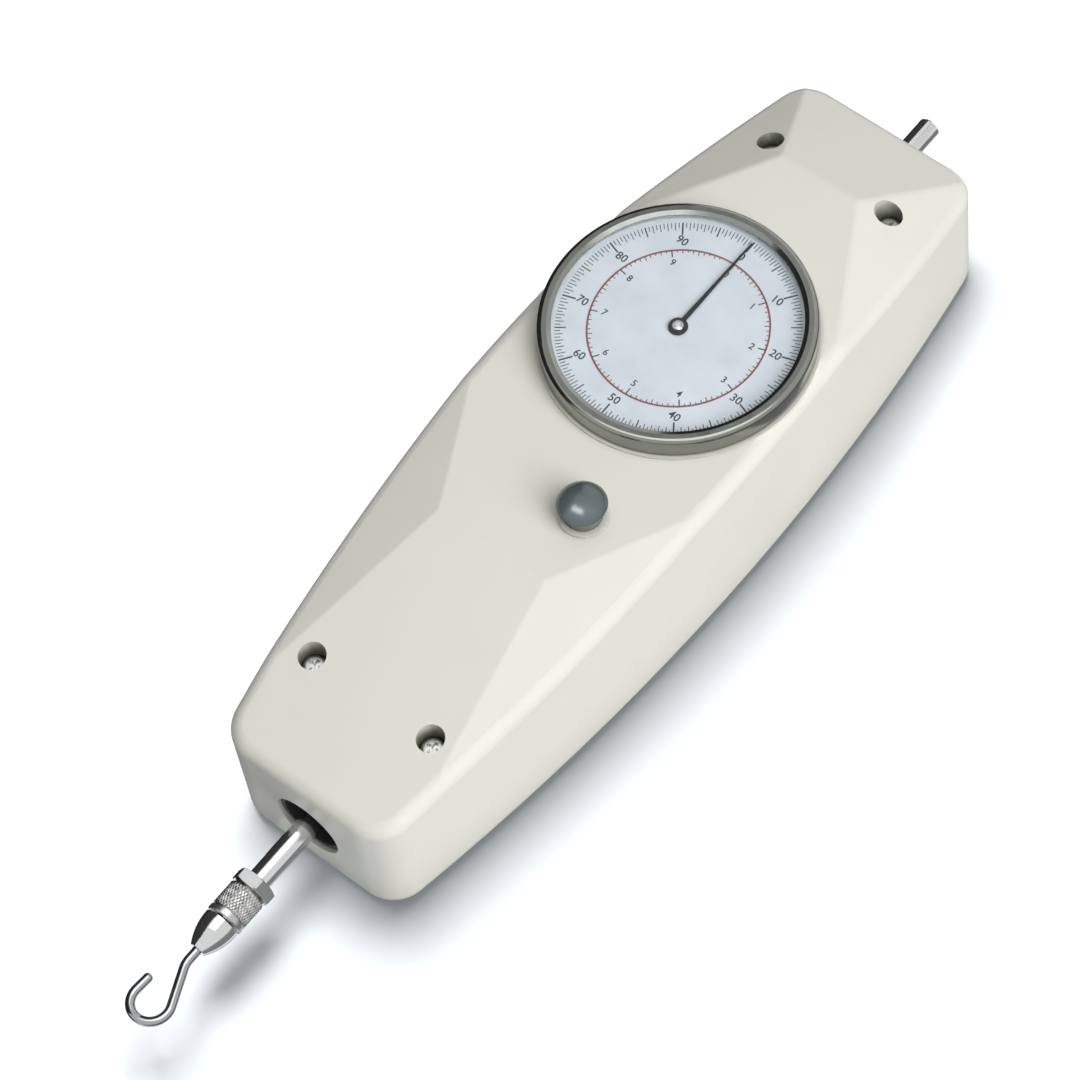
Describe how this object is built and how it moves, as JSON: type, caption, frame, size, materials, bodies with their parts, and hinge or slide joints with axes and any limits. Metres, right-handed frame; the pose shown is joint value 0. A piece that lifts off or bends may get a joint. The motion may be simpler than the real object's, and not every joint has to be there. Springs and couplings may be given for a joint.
{
  "type": "analogue push-pull force gauge",
  "caption": "Handheld dial force gauge with a faceted cast case, a sprung measuring shaft carrying a swivel hook, and a rack-and-gear movement that turns the pointer.",
  "frame": {"origin": "centre of the flat back face of the case, midway between its two ends", "axes": "+Z out of the dial, +Y along the measuring shaft from the hook end to the plain end, +X across the case"},
  "size_m": [0.06, 0.2552, 0.0502],
  "materials": {
    "cream_enamel": "satin enamel",
    "polished_steel": "polished",
    "plain_steel": "machined",
    "spring_steel": "drawn",
    "brass": "machined",
    "alloy": "mill finish",
    "black_bush": "matt",
    "slate_button": "gloss",
    "ivory_plastic": "satin",
    "dial_white": "matt print",
    "pointer_black": "satin",
    "crystal": "polished",
    "brake_rubber": "matt"
  },
  "bodies": {
    "base": {"front_case": "cream_enamel", "rear_case": "cream_enamel", "case_screws": "polished_steel", "mounting_inserts": "brass", "guide_bush_hook": "black_bush", "guide_bush_stub": "black_bush", "chassis": "alloy", "chassis_screws": "plain_steel", "guide_rod": "plain_steel", "movement_posts": "brass", "movement_plate_lower": "brass", "movement_plate_upper": "brass", "movement_pillars": "brass", "movement_screws": "plain_steel", "lever_pin": "plain_steel", "hairspring": "spring_steel", "hairspring_stud": "brass", "dial_cup": "alloy", "dial_screws": "plain_steel", "bezel_spring_ring": "spring_steel", "pull_spring": "spring_steel", "push_spring": "spring_steel", "button_bush": "black_bush", "button_spring": "spring_steel"},
    "measuring_shaft": {"measuring_shaft": "polished_steel", "spring_collar": "plain_steel", "collar_pin": "plain_steel", "rack_bracket": "brass", "rack": "brass", "rack_screws": "plain_steel", "stop_ring": "plain_steel", "lock_nut": "polished_steel", "coupling_sleeve": "plain_steel"},
    "hook": {"hook_nose": "polished_steel", "hook_wire": "polished_steel"},
    "intermediate_wheel": {"intermediate_arbor": "plain_steel", "rack_pinion": "brass", "large_gear": "brass"},
    "pointer_group": {"pointer_spindle": "plain_steel", "centre_pinion": "brass", "hairspring_collet": "brass", "pointer": "pointer_black", "pointer_hub": "pointer_black"},
    "dial_ring": {"bezel": "polished_steel", "crystal": "crystal", "spacer_ring": "alloy", "dial_plate": "dial_white"},
    "button": {"reset_button": "slate_button", "button_plunger": "ivory_plastic", "button_clip": "plain_steel"},
    "release_lever": {"release_lever": "plain_steel", "brake_pad": "brake_rubber"}
  },
  "joints": [
    {"name": "shaft_slide", "type": "slide", "parent": "base", "child": "measuring_shaft", "axis": [0, 1, 0], "range_m": [-0.01, 0.01], "stiffness_N_per_m": 10000, "deforming": ["pull_spring", "push_spring"]},
    {"name": "intermediate_spin", "type": "hinge", "parent": "base", "child": "intermediate_wheel", "pos_m": [0.01, 0.0385, 0.03], "axis": [0, 0, 1], "range_deg": [-143.3, 143.3]},
    {"name": "pointer_spin", "type": "hinge", "parent": "base", "child": "pointer_group", "pos_m": [0, 0.025, 0.03], "axis": [0, 0, 1], "range_deg": [-358.2, 358.2], "deforming": ["hairspring"]},
    {"name": "bezel_turn", "type": "hinge", "parent": "base", "child": "dial_ring", "pos_m": [0, 0.025, 0.043], "axis": [0, 0, 1], "continuous": true},
    {"name": "hook_swivel", "type": "hinge", "parent": "measuring_shaft", "child": "hook", "pos_m": [0, -0.119, 0.0164], "axis": [0, 1, 0], "continuous": true},
    {"name": "button_press", "type": "slide", "parent": "base", "child": "button", "axis": [0, 0, -1], "range_m": [0, 0.003], "stiffness_N_per_m": 400, "springref_m": -0.002, "deforming": ["button_spring"]},
    {"name": "lever_tilt", "type": "hinge", "parent": "base", "child": "release_lever", "pos_m": [0.0106, 0.013, 0.0322], "axis": [1, 0, 0], "range_deg": [0, 5.6]}
  ],
  "couplings": [
    {"joint": "intermediate_spin", "follows": "shaft_slide", "rad_per_m": -250},
    {"joint": "pointer_spin", "follows": "shaft_slide", "rad_per_m": 625},
    {"joint": "lever_tilt", "follows": "button_press", "rad_per_m": 31.646}
  ]
}
